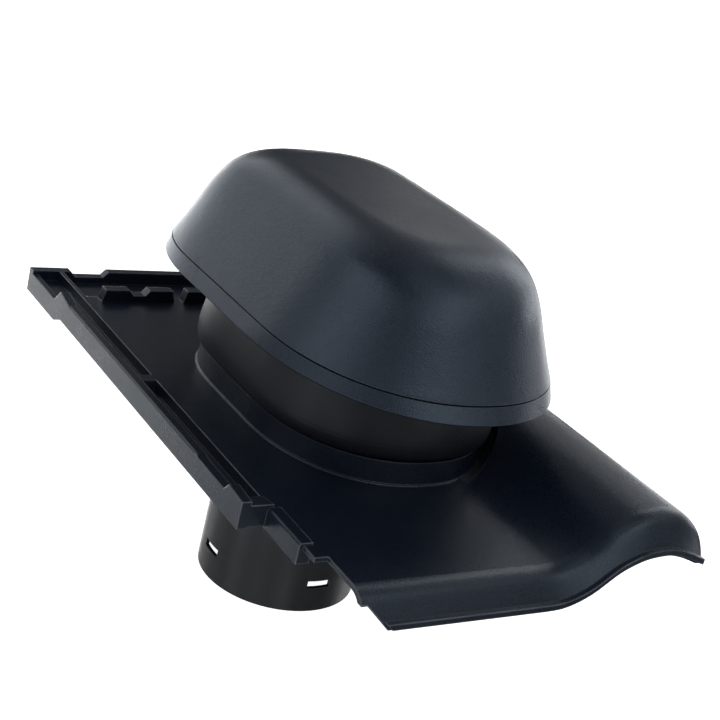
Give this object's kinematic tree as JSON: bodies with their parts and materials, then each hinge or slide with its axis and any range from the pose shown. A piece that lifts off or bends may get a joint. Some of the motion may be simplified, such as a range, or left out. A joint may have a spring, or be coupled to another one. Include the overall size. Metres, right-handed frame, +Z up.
{
  "type": "roof tile vent",
  "caption": "Plastic roof tile with one roll and side lock, carrying an oval upstand, a duct spigot through it and a domed rain hood over a grille.",
  "frame": {"origin": "axis of the duct spigot, on its lower rim", "axes": "+Z up along the spigot and square to the tile, +Y up the slope towards the head of the tile, +X towards the roll"},
  "size_m": [0.3003, 0.5089, 0.322],
  "materials": {
    "tile_plastic": "fine grained matte anthracite",
    "hood_plastic": "fine grained matte anthracite",
    "duct_plastic": "satin black",
    "seal_rubber": "matte",
    "screw_steel": "plated"
  },
  "bodies": {
    "root": {"base_tile": "tile_plastic", "duct_body": "duct_plastic", "duct_seal": "seal_rubber", "duct_screws": "screw_steel", "hood_frame": "hood_plastic", "hood_cover": "hood_plastic", "hood_screws": "screw_steel", "insect_grille": "duct_plastic"}
  },
  "joints": []
}
